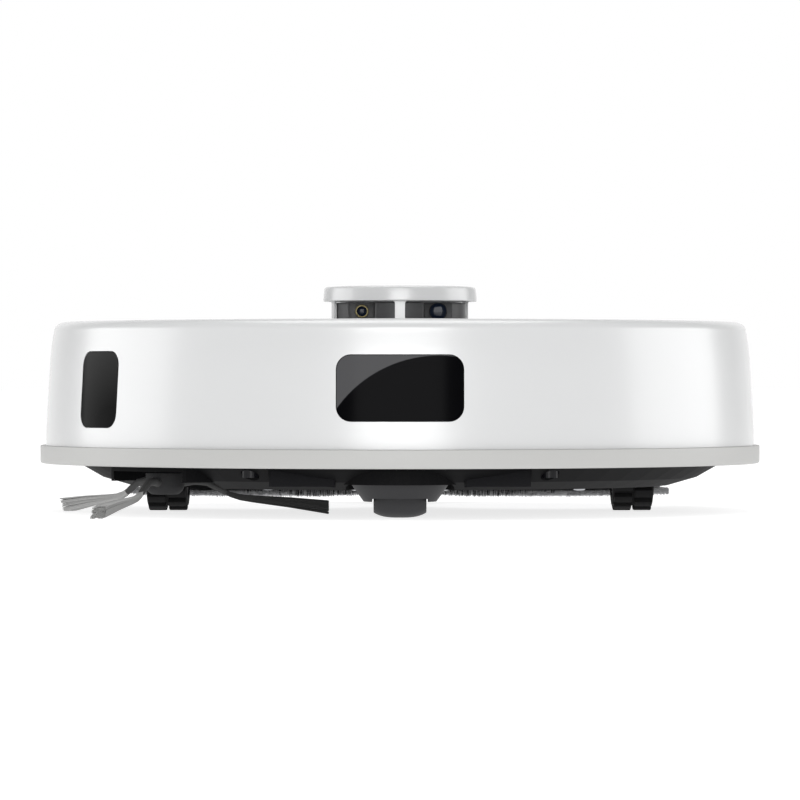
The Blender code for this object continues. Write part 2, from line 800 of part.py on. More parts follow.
# ---------------------------------------------------------------- drive wheels


def drive_side(side, word):
    """One driven wheel on its trailing arm."""
    axle = (side * WHEEL_X, WHEEL_Y, WHEEL_Z)
    half = WHEEL_WIDTH / 2
    rim_radius = 26.5 * MM
    rim = revolve(
        f"{word}_wheel_rim",
        [
            (0, half - 4 * MM),
            (18 * MM, half - 4 * MM),
            (22 * MM, half - 0.5 * MM),
            (rim_radius, half - 0.5 * MM),
            (rim_radius, 0.5 * MM - half),
            (0, 0.5 * MM - half),
        ],
        axle,
        "X",
        CHARCOAL,
        steps=32,
    )
    if side < 0:
        rim.rotation_euler = (0, -math.pi / 2, 0)
    tread = WHEEL_RADIUS - 1.2 * MM
    tyre = revolve(
        f"{word}_wheel_tyre",
        [(tread, half), (tread, -half), (rim_radius + GAP, -half), (rim_radius + GAP, half)],
        axle,
        "X",
        RUBBER,
        steps=28,
    )
    join(tyre, tread_lugs(f"cut_{word}_lugs", axle))
    low_x, high_x = span(side, ARM_X - 4.6 * MM, ARM_X + 4.4 * MM)
    pivot = (side * ARM_X, PIVOT_Y, PIVOT_Z)
    arm = box(
        f"{word}_drive_arm",
        (low_x, PIVOT_Y - 6 * MM, WHEEL_Z - 9 * MM),
        (high_x, WHEEL_Y + 22 * MM, WHEEL_Z + 13 * MM),
        CHARCOAL,
        origin=pivot,
    )
    cut(arm, rod(f"cut_{word}_eye", pivot, 2.8 * MM, 20 * MM, "X"))
    rod(
        f"{word}_drive_motor",
        (side * 80.5 * MM, WHEEL_Y + 14 * MM, 40 * MM),
        8.5 * MM,
        25 * MM,
        "X",
        STEEL,
    )
    rod(f"{word}_pivot_pin", (side * 94 * MM, PIVOT_Y, PIVOT_Z), 2.4 * MM, 24.6 * MM, "X", STEEL, steps=16)
    suspension_spring(side, f"{word}_suspension_spring")


def tread_lugs(name, axle):
    """Two staggered rows of blocks that stand proud of the tread."""
    shape = bmesh.new()
    per_row = 14
    size = Matrix.Diagonal((8 * MM, 6 * MM, 3 * MM, 1))
    for row, shift in ((-4.9 * MM, 0), (4.9 * MM, 0.5)):
        for i in range(per_row):
            turn = Matrix.Rotation(2 * math.pi * (i + shift) / per_row, 4, "X")
            out = Matrix.Translation((row, 0, WHEEL_RADIUS - 1.5 * MM))
            bmesh.ops.create_cube(shape, size=1, matrix=turn @ out @ size)
    return from_bmesh(name, shape, axle, None)


def suspension_spring(side, name):
    """A torsion spring wound round the pivot pin."""
    turns, per_turn, radius, wire = 3, 8, 4.2 * MM, 0.8 * MM
    points = []
    for i in range(turns * per_turn + 1):
        angle = 2 * math.pi * i / per_turn
        along = side * (84.6 * MM + 7.4 * MM * i / (turns * per_turn))
        points.append((along, PIVOT_Y + radius * math.cos(angle), PIVOT_Z + radius * math.sin(angle)))
    coil(name, points, wire, STEEL)


# ---------------------------------------------------------------- caster


def caster():
    wheel_y = CASTER_Y + 2 * MM
    fork = revolve(
        "caster_fork",
        [
            (0, 34 * MM),
            (3.4 * MM, 34 * MM),
            (3.4 * MM, 24.2 * MM),
            (14.8 * MM, 24.2 * MM),
            (14.8 * MM, 18.6 * MM),
            (23.8 * MM, 18.4 * MM),
            (23.8 * MM, 17.2 * MM),
            (16.6 * MM, 7.5 * MM),
            (0, 7.5 * MM),
        ],
        (0, CASTER_Y, 0),
        finish=CHARCOAL,
        steps=28,
    )
    slot_x, slot_y = 12.8 * MM, CASTER_RADIUS + 0.8 * MM
    cut(
        fork,
        box("cut_fork_slot", (-slot_x, wheel_y - slot_y, 0), (slot_x, wheel_y + slot_y, 21.2 * MM)),
        box("cut_fork_belly", (-slot_x, -FAR, 0), (slot_x, FAR, 9.1 * MM)),
        rod("cut_fork_axle", (0, wheel_y, CASTER_RADIUS), 1.8 * MM, 31 * MM, "X"),
    )
    half = 12.2 * MM
    revolve(
        "caster_wheel",
        [
            (8 * MM, half),
            (9.4 * MM, half - 2 * MM),
            (CASTER_RADIUS, 0),
            (9.4 * MM, 2 * MM - half),
            (8 * MM, -half),
            (1.8 * MM, -half),
            (1.8 * MM, half),
        ],
        (0, wheel_y, CASTER_RADIUS),
        "X",
        CHARCOAL,
        steps=24,
    )
    rod("caster_axle", (0, wheel_y, CASTER_RADIUS), 1.5 * MM, 30 * MM, "X", STEEL, steps=16)


# ---------------------------------------------------------------- mops


def mop_gearbox():
    """The carriage that carries both mop drives and slides down to press the pads on the floor."""
    low, high = 23 * MM, 37 * MM
    carriage = box(
        "mop_gearbox",
        (-MOP_X - 17 * MM, MOP_Y - 20 * MM, low),
        (MOP_X + 17 * MM, MOP_Y + 20 * MM, high),
        CHARCOAL,
        corner=10 * MM,
    )
    for side in (-1, 1):
        cut(carriage, rod(f"cut_mop_shaft_{side}", (side * MOP_X, MOP_Y, low), 4.4 * MM, 24 * MM))


def mop(side, word):
    pad_top = 9.2 * MM
    place = (side * MOP_X, MOP_Y, 0)
    revolve(
        f"{word}_mop_plate",
        [
            (0, 33 * MM),
            (4 * MM, 33 * MM),
            (4 * MM, 21.6 * MM),
            (7.6 * MM, 21.6 * MM),
            (7.6 * MM, 11.2 * MM),
            (59 * MM, 11 * MM),
            (60 * MM, pad_top + GAP),
            (0, pad_top + GAP),
        ],
        place,
        finish=CHARCOAL,
        steps=40,
    )
    revolve(
        f"{word}_mop_pad",
        [
            (0, pad_top),
            (MOP_RADIUS - 1.6 * MM, pad_top),
            (MOP_RADIUS, pad_top - 1.2 * MM),
            (MOP_RADIUS, MOP_BOTTOM + 1 * MM),
            (MOP_RADIUS - 1.4 * MM, MOP_BOTTOM),
            (0, MOP_BOTTOM),
        ],
        place,
        finish=FELT,
        steps=40,
    )


# ---------------------------------------------------------------- build

for old in list(bpy.data.objects):
    bpy.data.objects.remove(old)
PARTS = collection("robot_floor_cleaner")
CUTTERS = collection("cutters")

chassis_pan()
upper_shell()
rear_skirt()
bumper_shell()
bumper_skirt()
bumper_windows()
bumper_springs()
top_lid()
buttons()
lds_guard()
lds_rotor()
lds_drive()
boards_and_battery()
suction_fan()
side_brush_gearbox()
contacts_and_cliff_windows()
brush_frame()
brush_roller()
brush_end_bearing()
brush_gearbox()
dust_bin()
side_brush()
for sign, name in ((-1, "right"), (1, "left")):
    drive_side(sign, name)
    mop(sign, name)
caster()
mop_gearbox()
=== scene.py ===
"""The looks of the robot floor cleaner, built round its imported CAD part.

The front faces -Y, the machine's own left is +X, and the floor is z = 0. Sizes are in metres.
"""

import math
import random

import bmesh
import bpy
from mathutils import Matrix, Vector


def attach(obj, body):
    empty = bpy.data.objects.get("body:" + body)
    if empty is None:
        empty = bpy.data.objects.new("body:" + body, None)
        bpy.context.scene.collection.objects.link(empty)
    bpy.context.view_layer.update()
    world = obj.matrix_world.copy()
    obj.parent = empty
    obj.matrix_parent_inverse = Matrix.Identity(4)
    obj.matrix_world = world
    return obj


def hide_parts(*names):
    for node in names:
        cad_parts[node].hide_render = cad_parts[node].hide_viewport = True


MM = 0.001
GAP = 0.3 * MM
FAR = 500 * MM  # well outside the machine, for cutting blocks

# Sizes shared with the solids
SKIRT_RADIUS = 175 * MM
BODY_RADIUS = 172.3 * MM
CORE_RADIUS = 160 * MM
EDGE_RADIUS = 163.5 * MM
DECK_TOP = 91.4 * MM
DECK_BOTTOM = 88.9 * MM
SHELL_BOTTOM = 32.2 * MM
SKIRT_BOTTOM = 23.2 * MM
PAN_BOTTOM = 12.6 * MM
TURRET_Y = 40 * MM
CAP_LOW, CAP_HIGH = 102.4 * MM, 110.3 * MM
ROTOR_RADIUS = 32.6 * MM
LENS_X, LENS_Z = 18.75 * MM, 97.3 * MM
RECESS_Y = TURRET_Y - 20.5 * MM
WHEEL_X, WHEEL_Y, WHEEL_RADIUS, WHEEL_WIDTH = 113 * MM, 0 * MM, 34 * MM, 19.6 * MM
BRUSH_Y, BRUSH_Z, BRUSH_RADIUS = -50 * MM, 30 * MM, 22.4 * MM
CASTER_Y, CASTER_RADIUS = -130 * MM, 10 * MM
SIDE_BRUSH = Vector((-110 * MM, -96 * MM, 0))
MOP_X, MOP_Y, MOP_RADIUS, MOP_BOTTOM = 71 * MM, 86 * MM, 65 * MM, 5.9 * MM
BUTTON_X, BUTTON_Y, BUTTON_RADIUS = 60 * MM, 28 * MM, 7 * MM
LID_RADIUS, LID_REAR, LID_ROOM_REAR = 150 * MM, -8.5 * MM, -4.8 * MM
BUMPER_REAR, WALL_FRONT = -2 * MM, 1.8 * MM
HOLE_LOW, HOLE_HIGH = 80 * MM, 100 * MM  # ends of the tools that cut through the deck

# The camera stands level, just below the deck's height, and its frame is shifted down a little
CAMERA_DISTANCE = 2.33
CAMERA_HEIGHT = 63.5 * MM
CAMERA_LENS = 214.8
CAMERA_SHIFT = -0.025


# ---------------------------------------------------------------- materials


def new_material(name, colour, roughness, metallic=0.0):
    made = bpy.data.materials.new(name)
    made.use_nodes = True
    shader = made.node_tree.nodes["Principled BSDF"]
    shader.inputs["Base Color"].default_value = (*colour, 1)
    shader.inputs["Roughness"].default_value = roughness
    shader.inputs["Metallic"].default_value = metallic
    return made, shader


def add_node(made, kind, **inputs):
    node = made.node_tree.nodes.new(kind)
    for name, value in inputs.items():
        node.inputs[name.replace("_", " ")].default_value = value
    return node


def wire(made, source, target):
    made.node_tree.links.new(source, target)


def grain(made, shader, colour, spread, scale, bump):
    """Faint mottling of the colour, with a bump from the same noise."""
    place = add_node(made, "ShaderNodeTexCoord")
    noise = add_node(made, "ShaderNodeTexNoise", Scale=scale)
    wire(made, place.outputs["Object"], noise.inputs["Vector"])
    height = noise.outputs["Fac"]
    ramp = add_node(made, "ShaderNodeValToRGB")
    low, high = ramp.color_ramp.elements
    low.color = (*[max(0.0, c - spread) for c in colour], 1)
    high.color = (*[min(1.0, c + spread) for c in colour], 1)
    wire(made, height, ramp.inputs["Fac"])
    wire(made, ramp.outputs["Color"], shader.inputs["Base Color"])
    relief = add_node(made, "ShaderNodeBump", Strength=bump, Distance=0.1 * MM)
    wire(made, height, relief.inputs["Height"])
    wire(made, relief.outputs["Normal"], shader.inputs["Normal"])


def plastic(name, colour, roughness, spread=0.006, scale=900, bump=0.05, coat=0.0, shine=0.5):
    made, shader = new_material(name, colour, roughness)
    grain(made, shader, colour, spread, scale, bump)
    shader.inputs["Specular IOR Level"].default_value = shine
    shader.inputs["Coat Weight"].default_value = coat
    shader.inputs["Coat Roughness"].default_value = 0.22
    return made


def metal(name, colour, roughness, spread=0.03):
    made, shader = new_material(name, colour, roughness, 1.0)
    grain(made, shader, colour, spread, 1400, 0.04)
    return made


def pane_with_painted_reflection(name, dark, reflection_tint, centre, radius, blur):
    """Black acrylic with a painted reflection: the colour lightens outside a circle in the X-Z plane, over
    the blur's width.
    """
    made, shader = new_material(name, dark, 0.12)
    shader.inputs["Specular IOR Level"].default_value = 0.015
    place = add_node(made, "ShaderNodeTexCoord")
    flat = add_node(made, "ShaderNodeVectorMath")
    flat.operation = "MULTIPLY"
    flat.inputs[1].default_value = (1, 0, 1)
    wire(made, place.outputs["Object"], flat.inputs[0])
    reach = add_node(made, "ShaderNodeVectorMath")
    reach.operation = "DISTANCE"
    reach.inputs[1].default_value = (centre[0], 0, centre[1])
    wire(made, flat.outputs["Vector"], reach.inputs[0])
    fade = add_node(made, "ShaderNodeMapRange")
    fade.inputs["From Min"].default_value = radius - blur / 2
    fade.inputs["From Max"].default_value = radius + blur / 2
    wire(made, reach.outputs["Value"], fade.inputs["Value"])
    # The ramp runs from the acrylic's own dark colour to the painted reflection's colour.
    ramp = add_node(made, "ShaderNodeValToRGB")
    ramp.color_ramp.elements[0].color = (*dark, 1)
    ramp.color_ramp.elements[1].color = (*reflection_tint, 1)
    wire(made, fade.outputs["Result"], ramp.inputs["Fac"])
    wire(made, ramp.outputs["Color"], shader.inputs["Base Color"])
    return made


def fibre(name, colour, spread, scale, sheen=0.3):
    made, shader = new_material(name, colour, 0.95)
    grain(made, shader, colour, spread, scale, 0.6)
    shader.inputs["Sheen Weight"].default_value = sheen
    shader.inputs["Sheen Roughness"].default_value = 0.6
    return made


WHITE = plastic("white_plastic", (0.615, 0.62, 0.623), 0.35, 0.003, 1200, 0.01, coat=0.9)
SKIRT_GREY = plastic("soft_grey_strip", (0.46, 0.46, 0.45), 0.5, 0.008, 1500, 0.05)
BLACK = plastic("black_plastic", (0.0055, 0.0055, 0.006), 0.6, 0.0015, 1600, 0.3, shine=0.05)
CHARCOAL = plastic("charcoal_plastic", (0.03, 0.03, 0.032), 0.5, 0.004, 1600, 0.25, shine=0.25)
GLOSS = plastic("gloss_black", (0.008, 0.008, 0.01), 0.1, 0.002, 800, 0.0, shine=0.2)
DRUM = plastic("scan_drum_black", (0.065, 0.065, 0.067), 0.35, 0.003, 900, 0.0, shine=0.15)
# Painted shade: a darker copy of the drum's black for the inside of the lens recesses.
RECESS_PAINTED_SHADE = plastic("lens_recess_painted_shade", (0.002, 0.002, 0.002), 0.6, 0.001, 900, 0.0, shine=0.05)
RUBBER = plastic("black_rubber", (0.022, 0.022, 0.023), 0.75, 0.006, 2200, 0.4, shine=0.2)
TYRE = plastic("tyre_rubber", (0.009, 0.009, 0.0095), 0.8, 0.003, 2200, 0.4, shine=0.1)
ARM_RUBBER = plastic("grey_rubber", (0.05, 0.05, 0.05), 0.7, 0.006, 2200, 0.3, shine=0.2)
STEEL = metal("steel", (0.55, 0.56, 0.58), 0.3)
DARK_METAL = metal("dark_contact", (0.012, 0.012, 0.013), 0.6, spread=0.002)
BRASS = metal("brass", (0.1, 0.085, 0.045), 0.45, spread=0.01)
LENS = plastic("coated_glass", (0.006, 0.011, 0.024), 0.05, 0.001, 300, 0.0, shine=0.16)
# Painted reflection: the front pane lightens outside an arc, where a softbox's reflection would fall.
FRONT_PANE_PAINTED_REFLECTION = pane_with_painted_reflection(
    "front_pane_painted_reflection",
    dark=(0.002, 0.002, 0.0025),
    reflection_tint=(0.075, 0.075, 0.078),
    centre=(17.7 * MM, 17.7 * MM),
    radius=56.9 * MM,
    blur=0.4 * MM,
)
# Painted reflection: the side pane lightens softly outside a circle.
SIDE_PANE_PAINTED_REFLECTION = pane_with_painted_reflection(
    "side_pane_painted_reflection",
    dark=(0.001, 0.001, 0.001),
    reflection_tint=(0.03, 0.03, 0.03),
    centre=(-134 * MM, 44 * MM),
    radius=24 * MM,
    blur=34 * MM,
)
BRISTLE = fibre("roller_bristle", (0.01, 0.01, 0.0105), 0.005, 2500, sheen=0.0)
# Painted shade: a darker copy of the pale bristle, for the tuft that sits in the body's shade.
BRISTLE_PAINTED_SHADE = fibre("bristle_painted_shade", (0.03, 0.03, 0.03), 0.01, 2500, sheen=0.05)
PALE_BRISTLE = fibre("pale_bristle", (0.34, 0.34, 0.335), 0.06, 2500)
PLUSH = fibre("mop_plush", (0.36, 0.36, 0.37), 0.12, 900)
BOARD = plastic("circuit_board", (0.02, 0.11, 0.05), 0.4, 0.01, 400, 0.1)
CELL = plastic("battery_wrap", (0.04, 0.09, 0.2), 0.4)
PAPER = fibre("filter_paper", (0.7, 0.69, 0.65), 0.05, 700)


# ---------------------------------------------------------------- shaping


def finish_mesh(name, shape, material, sharp=32):
    bmesh.ops.recalc_face_normals(shape, faces=shape.faces)
    mesh = bpy.data.meshes.new(name)
    shape.to_mesh(mesh)
    shape.free()
    mesh.shade_smooth()
    mesh.set_sharp_from_angle(angle=math.radians(sharp))
    mesh.materials.append(material)
    made = bpy.data.objects.new(name, mesh)
    bpy.context.scene.collection.objects.link(made)
    return made


def soften(outline, steps=4):
    """Rounds each (radius, height, rounding) corner of a closed outline with a short arc."""
    made = []
    count = len(outline)
    for i, corner in enumerate(outline):
        here = Vector(corner[:2])
        rounding = corner[2] if len(corner) > 2 else 0
        if not rounding:
            made.append(tuple(here))
            continue
        before = (Vector(outline[i - 1][:2]) - here).normalized() * rounding
        after = (Vector(outline[(i + 1) % count][:2]) - here).normalized() * rounding
        for step in range(steps + 1):
            t = step / steps
            point = here + before * (1 - t) ** 2 + after * t**2
            made.append(tuple(point))
    return made


def lathe(name, outline, material, place=(0, 0, 0), axis="Z", steps=96, sharp=32):
    """Turns a closed (radius, height) outline all the way round an axis."""
    shape = bmesh.new()
    rings = []
    for i in range(steps):
        angle = math.radians(360 * i / steps)
        rings.append([shape.verts.new((r * math.cos(angle), r * math.sin(angle), h)) for r, h in outline])
    count = len(outline)
    for near, far in zip(rings, rings[1:] + rings[:1]):
        for i in range(count):
            j = (i + 1) % count
            shape.faces.new((near[i], near[j], far[j], far[i]))
    bmesh.ops.remove_doubles(shape, verts=shape.verts, dist=0.001 * MM)
    if axis == "X":
        bmesh.ops.rotate(shape, verts=shape.verts, matrix=Matrix.Rotation(math.pi / 2, 3, "Y"))
    elif axis == "Y":
        bmesh.ops.rotate(shape, verts=shape.verts, matrix=Matrix.Rotation(math.pi / 2, 3, "X"))
    bmesh.ops.translate(shape, verts=shape.verts, vec=place)
    return finish_mesh(name, shape, material, sharp)


def disc_outline(radius, low, high, edge):
    return soften([(0, high), (radius, high, edge), (radius, low, edge), (0, low)])


def prism(name, outline, low, high, material, edge):
    """A flat plate with the given plan, its upper rim rounded off by a small chamfer."""
    shape = bmesh.new()
    middle = sum((Vector(p) for p in outline), Vector((0, 0))) / len(outline)
    levels = [(low, 0.0), (high - edge, 0.0), (high - 0.3 * edge, 0.3 * edge), (high, edge)]
    rings = []
    for height, inset in levels:
        ring = []
        for x, y in outline:
            inward = (middle - Vector((x, y))).normalized() * inset
            ring.append(shape.verts.new((x + inward.x, y + inward.y, height)))
        rings.append(ring)
    count = len(outline)
    for near, far in zip(rings, rings[1:]):
        for i in range(count):
            j = (i + 1) % count
            shape.faces.new((near[i], near[j], far[j], far[i]))
    shape.faces.new(rings[0])
    shape.faces.new(rings[-1])
    return finish_mesh(name, shape, material)


def block(name, low, high, material, edge):
    """A box between two corners, with every edge rounded unless the rounding is nought."""
    shape = bmesh.new()
    low, high = Vector(low), Vector(high)
    size = Matrix.Diagonal((*(high - low), 1))
    bmesh.ops.create_cube(shape, size=1, matrix=Matrix.Translation((low + high) / 2) @ size)
    if edge:
        bmesh.ops.bevel(shape, geom=shape.edges[:], offset=edge, segments=3, profile=0.5, affect="EDGES")
    return finish_mesh(name, shape, material)


def carve(part, tool, how="DIFFERENCE"):
    """Cuts (or keeps) with a tool, which is then thrown away."""
    change = part.modifiers.new("carve", "BOOLEAN")
    change.operation = how
    change.solver = "EXACT"
    change.object = tool
    bpy.context.view_layer.update()
    mesh = bpy.data.meshes.new_from_object(part.evaluated_get(bpy.context.evaluated_depsgraph_get()))
    part.modifiers.clear()
    part.data = mesh
    bpy.data.objects.remove(tool)


def true_normals(part, normal_at, sharp=20):
    """Gives faces that follow a known surface that surface's own normals, so cuts leave no shading."""
    mesh = part.data
    limit = math.cos(math.radians(sharp))
    found = []
    for face in mesh.polygons:
        for index in face.loop_indices:
            point = mesh.vertices[mesh.loops[index].vertex_index].co
            wanted = normal_at(point)
            found.append(wanted if wanted is not None and wanted.dot(face.normal) > limit else face.normal)
    mesh.normals_split_custom_set([tuple(n) for n in found])


def ride(body, *parts, slot, replaces=None):
    """Puts visible pieces on a body and hides the CAD node they stand for, if one is named; the slot is not
    used.
    """
    for part in parts:
        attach(part, body)
    if replaces:
        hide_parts(replaces)


def strand(shape, points, radius, tip, sides=3):
    """Adds one fine tapering fibre along the points to a growing mesh."""
    rings = []
    last = len(points) - 1
    for i, point in enumerate(points):
        ahead = (points[min(i + 1, last)] - points[max(i - 1, 0)]).normalized()
        side = ahead.orthogonal().normalized()
        other = ahead.cross(side)
        size = radius + (tip - radius) * i / last
        rings.append(
            [
                shape.verts.new(
                    point
                    + side * size * math.cos(2 * math.pi * k / sides)
                    + other * size * math.sin(2 * math.pi * k / sides)
                )
                for k in range(sides)
            ]
        )
    for near, far in zip(rings, rings[1:]):
        for k in range(sides):
            j = (k + 1) % sides
            shape.faces.new((near[k], near[j], far[j], far[k]))
    shape.faces.new(reversed(rings[0]))
    shape.faces.new(rings[-1])


# ---------------------------------------------------------------- outer body


def wall_curve():
    """Radius and height down the bowed side wall, from the flat deck to the wall's foot."""
    shoulder_width, shoulder_drop = 5.0 * MM, 4.4 * MM
    edge = []
    for step in range(9):
        angle = math.pi / 2 * step / 8
        radius = EDGE_RADIUS + shoulder_width * math.sin(angle)
        edge.append((radius, DECK_TOP - shoulder_drop * (1 - math.cos(angle))))
    side = [  # in millimetres
        (168.9, 84.5),
        (169.6, 80),
        (170.2, 74),
        (170.7, 66),
        (171.3, 56),
        (171.9, 46),
        (172.25, 38),
    ]
    return edge + [(r * MM, z * MM) for r, z in side]


def wall_outline():
    outer = wall_curve()
    thick = 2.5 * MM
    foot = SHELL_BOTTOM - 0.25 * MM
    inner = [(max(EDGE_RADIUS, r - thick), min(z, DECK_BOTTOM)) for r, z in reversed(outer[6:])]
    return (
        outer
        + [(BODY_RADIUS, foot), (BODY_RADIUS - thick, foot)]
        + inner
        + [(EDGE_RADIUS, DECK_BOTTOM)]
    )


def wall_normal(point):
    """The outward normal of the side wall at a point, or None where the point is off it."""
    radius = math.hypot(point.x, point.y)
    curve = wall_curve() + [(BODY_RADIUS, SHELL_BOTTOM)]
    if radius < EDGE_RADIUS - 1 * MM:
        return Vector((0, 0, 1)) if abs(point.z - DECK_TOP) < 0.01 * MM else None
    for (r0, z0), (r1, z1) in zip(curve, curve[1:]):
        if z1 - 0.001 * MM <= point.z <= z0 + 0.001 * MM:
            slope = Vector((z0 - z1, r1 - r0)).normalized()
            out = Vector((point.x, point.y, 0)).normalized()
            return (out * slope.x + Vector((0, 0, 1)) * slope.y).normalized()
    return None


WINDOWS = {
    "front_window": {"azimuth": 0, "width": 57.5 * MM, "low": 44.9 * MM, "high": 74.8 * MM},
    "side_window": {"azimuth": -55.65, "width": 31.9 * MM, "low": 41.4 * MM, "high": 76.7 * MM},
}


def window_block(azimuth, width, low, high, margin=0.0):
    """A rounded block that passes outward through the wall at an azimuth from straight ahead."""
    half, tall = width / 2 + margin, (high - low) / 2 + margin
    corner = 6.5 * MM + margin
    shape = bmesh.new()
    rings = []
    for depth in (-8 * MM, 8 * MM):
        ring = []
        for cx, cz, first in ((1, 1, 0), (-1, 1, 90), (-1, -1, 180), (1, -1, 270)):
            for step in range(9):
                angle = math.radians(first + 90 * step / 8)
                x = cx * (half - corner) + corner * math.cos(angle)
                z = cz * (tall - corner) + corner * math.sin(angle)
                ring.append(shape.verts.new((x, -BODY_RADIUS - depth, z)))
        rings.append(ring)
    count = len(rings[0])
    for i in range(count):
        j = (i + 1) % count
        shape.faces.new((rings[0][i], rings[0][j], rings[1][j], rings[1][i]))
    shape.faces.new(rings[0])
    shape.faces.new(reversed(rings[1]))
    turn = Matrix.Rotation(math.radians(azimuth), 4, "Z")
    bmesh.ops.transform(shape, verts=shape.verts, matrix=turn @ Matrix.Translation((0, 0, (low + high) / 2)))
    return finish_mesh("tool", shape, BLACK)


def half_space(front, edge):
    """A big block ahead of (or behind) the plane Y = edge."""
    if front:
        return block("tool", (-FAR, -FAR, -FAR), (FAR, edge, FAR), BLACK, edge=0)
    return block("tool", (-FAR, edge, -FAR), (FAR, FAR, FAR), BLACK, edge=0)


def bumper():
    shell = lathe("bumper_cover", wall_outline(), WHITE, steps=360)
    carve(shell, half_space(True, BUMPER_REAR), "INTERSECT")
    for size in WINDOWS.values():
        carve(shell, window_block(**size, margin=0.35 * MM))
    true_normals(shell, wall_normal)
    ride("bumper", shell, replaces="bumper_shell", slot="bumper_shell")
    # Each window pane paints a reflection into its colour.
    painted_reflection_panes = {"front_window": FRONT_PANE_PAINTED_REFLECTION, "side_window": SIDE_PANE_PAINTED_REFLECTION}
    for name, size in WINDOWS.items():
        glass = lathe(f"{name}_pane", wall_outline(), painted_reflection_panes[name], steps=360)
        carve(glass, window_block(**size), "INTERSECT")
        true_normals(glass, wall_normal)
        backing = lathe(
            f"{name}_seal",
            [(168.6 * MM, 82 * MM), (168.6 * MM, 36 * MM), (167 * MM, 36 * MM), (167 * MM, 82 * MM)],
            BLACK,
            steps=180,
        )
        carve(backing, window_block(**size, margin=1.5 * MM), "INTERSECT")
        ride("bumper", glass, backing, replaces=name, slot=name)
    strip = lathe("bumper_strip", skirt_outline(CORE_RADIUS + 6.5 * MM), SKIRT_GREY, steps=360)
    carve(strip, half_space(True, BUMPER_REAR), "INTERSECT")
    ride("bumper", strip, replaces="bumper_skirt", slot="bumper_skirt")


def skirt_outline(inner):
    top = SHELL_BOTTOM - GAP
    return soften(
        [
            (SKIRT_RADIUS, top, 0.5 * MM),
            (SKIRT_RADIUS, SKIRT_BOTTOM, 1.4 * MM),
            (inner, SKIRT_BOTTOM, 0.6 * MM),
            (inner, top, 0.6 * MM),
        ]
    )


def shell():
    core_inside = CORE_RADIUS - 2.5 * MM
    split = 41 * MM
    outline = [(0, DECK_TOP)] + wall_outline() + [
        (CORE_RADIUS, DECK_BOTTOM),
        (CORE_RADIUS, split),
        (core_inside, split),
        (core_inside, DECK_BOTTOM),
        (0, DECK_BOTTOM),
    ]
    cover = lathe("shell_cover", outline, WHITE, steps=256)
    room = lathe(
        "tool",
        [(CORE_RADIUS + GAP, 120 * MM), (400 * MM, 120 * MM), (400 * MM, 0), (CORE_RADIUS + GAP, 0)],
        WHITE,
        steps=256,
    )
    carve(room, half_space(True, WALL_FRONT), "INTERSECT")
    carve(cover, room)
    lid_room = lathe("tool", disc_outline(LID_RADIUS + 0.4 * MM, HOLE_LOW, HOLE_HIGH, 0), WHITE, steps=180)
    carve(lid_room, half_space(True, LID_ROOM_REAR), "INTERSECT")
    carve(cover, lid_room)
    round_holes = [(ROTOR_RADIUS + 2 * GAP, 0, TURRET_Y)]
    round_holes += [(BUTTON_RADIUS + 0.4 * MM, side * BUTTON_X, BUTTON_Y) for side in (-1, 1)]
    for radius, x, y in round_holes:
        carve(cover, lathe("tool", disc_outline(radius, HOLE_LOW, HOLE_HIGH, 0), WHITE, (x, y, 0)))
    true_normals(cover, wall_normal)
    ride("body", cover, replaces="upper_shell", slot="upper_shell")
    strip = lathe("rear_strip", skirt_outline(CORE_RADIUS + GAP), SKIRT_GREY, steps=360)
    carve(strip, half_space(False, WALL_FRONT), "INTERSECT")
    ride("body", strip, replaces="rear_skirt", slot="rear_skirt")


def lid():
    start = math.degrees(math.asin(-LID_REAR / LID_RADIUS))
    outline = []
    for i in range(121):
        angle = math.radians(180 + start + (180 - 2 * start) * i / 120)
        outline.append((LID_RADIUS * math.cos(angle), LID_RADIUS * math.sin(angle)))
    cover = prism("lid_cover", outline, DECK_BOTTOM, DECK_TOP, WHITE, edge=0.5 * MM)
    ride("lid", cover, replaces="top_lid", slot="top_lid")


def keys():
    for side, name, body in ((-1, "power_button", "power_key"), (1, "dock_button", "dock_key")):
        face = DECK_TOP + 0.9 * MM
        cap = lathe(
            f"{name}_cap",
            soften(
                [
                    (0, face - 0.35 * MM),
                    (BUTTON_RADIUS - 2.2 * MM, face - 0.35 * MM, 0.6 * MM),
                    (BUTTON_RADIUS - 1.4 * MM, face, 0.3 * MM),
                    (BUTTON_RADIUS, face, 0.5 * MM),
                    (BUTTON_RADIUS, face - 6.9 * MM),
                    (0, face - 6.9 * MM),
                ]
            ),
            SKIRT_GREY,
            (side * BUTTON_X, BUTTON_Y, 0),
            steps=64,
        )
        ride(body, cap, replaces=name, slot=name)


# ---------------------------------------------------------------- turret


def turret():
    cap = lathe(
        "turret_cap",
        soften(
            [
                (0, CAP_HIGH),
                (30 * MM, CAP_HIGH - 0.35 * MM, 4 * MM),
                (37.5 * MM, CAP_HIGH - 0.8 * MM, 1.2 * MM),
                (38.2 * MM, CAP_LOW, 0.6 * MM),
                (35.4 * MM, CAP_LOW, 0.4 * MM),
                (35 * MM, CAP_LOW + 1 * MM),
                (0, CAP_LOW + 1 * MM),
            ]
        ),
        WHITE,
        (0, TURRET_Y, 0),
        steps=160,
    )
    inner, outer = ROTOR_RADIUS + GAP, 34.3 * MM
    ring_top = DECK_TOP + 2.4 * MM
    ring = lathe(
        "turret_ring",
        soften(
            [
                (inner, ring_top, 0.3 * MM),
                (outer, ring_top, 0.5 * MM),
                (36 * MM, DECK_TOP + GAP),
                (inner, DECK_TOP + GAP),
            ]
        ),
        WHITE,
        (0, TURRET_Y, 0),
        steps=160,
    )
    ride("body", cap, ring, replaces="lds_guard", slot="lds_guard")
    low, high = ring_top - 1 * MM, CAP_LOW + 1.2 * MM
    for number, azimuth in enumerate((0, -76, 104, 180)):
        post = pillar(f"turret_pillar_{number}", inner, outer, low, high)
        turn = Matrix.Rotation(math.radians(azimuth), 4, "Z")
        post.data.transform(Matrix.Translation((0, TURRET_Y, 0)) @ turn)
        ride("body", post, slot="lds_guard")


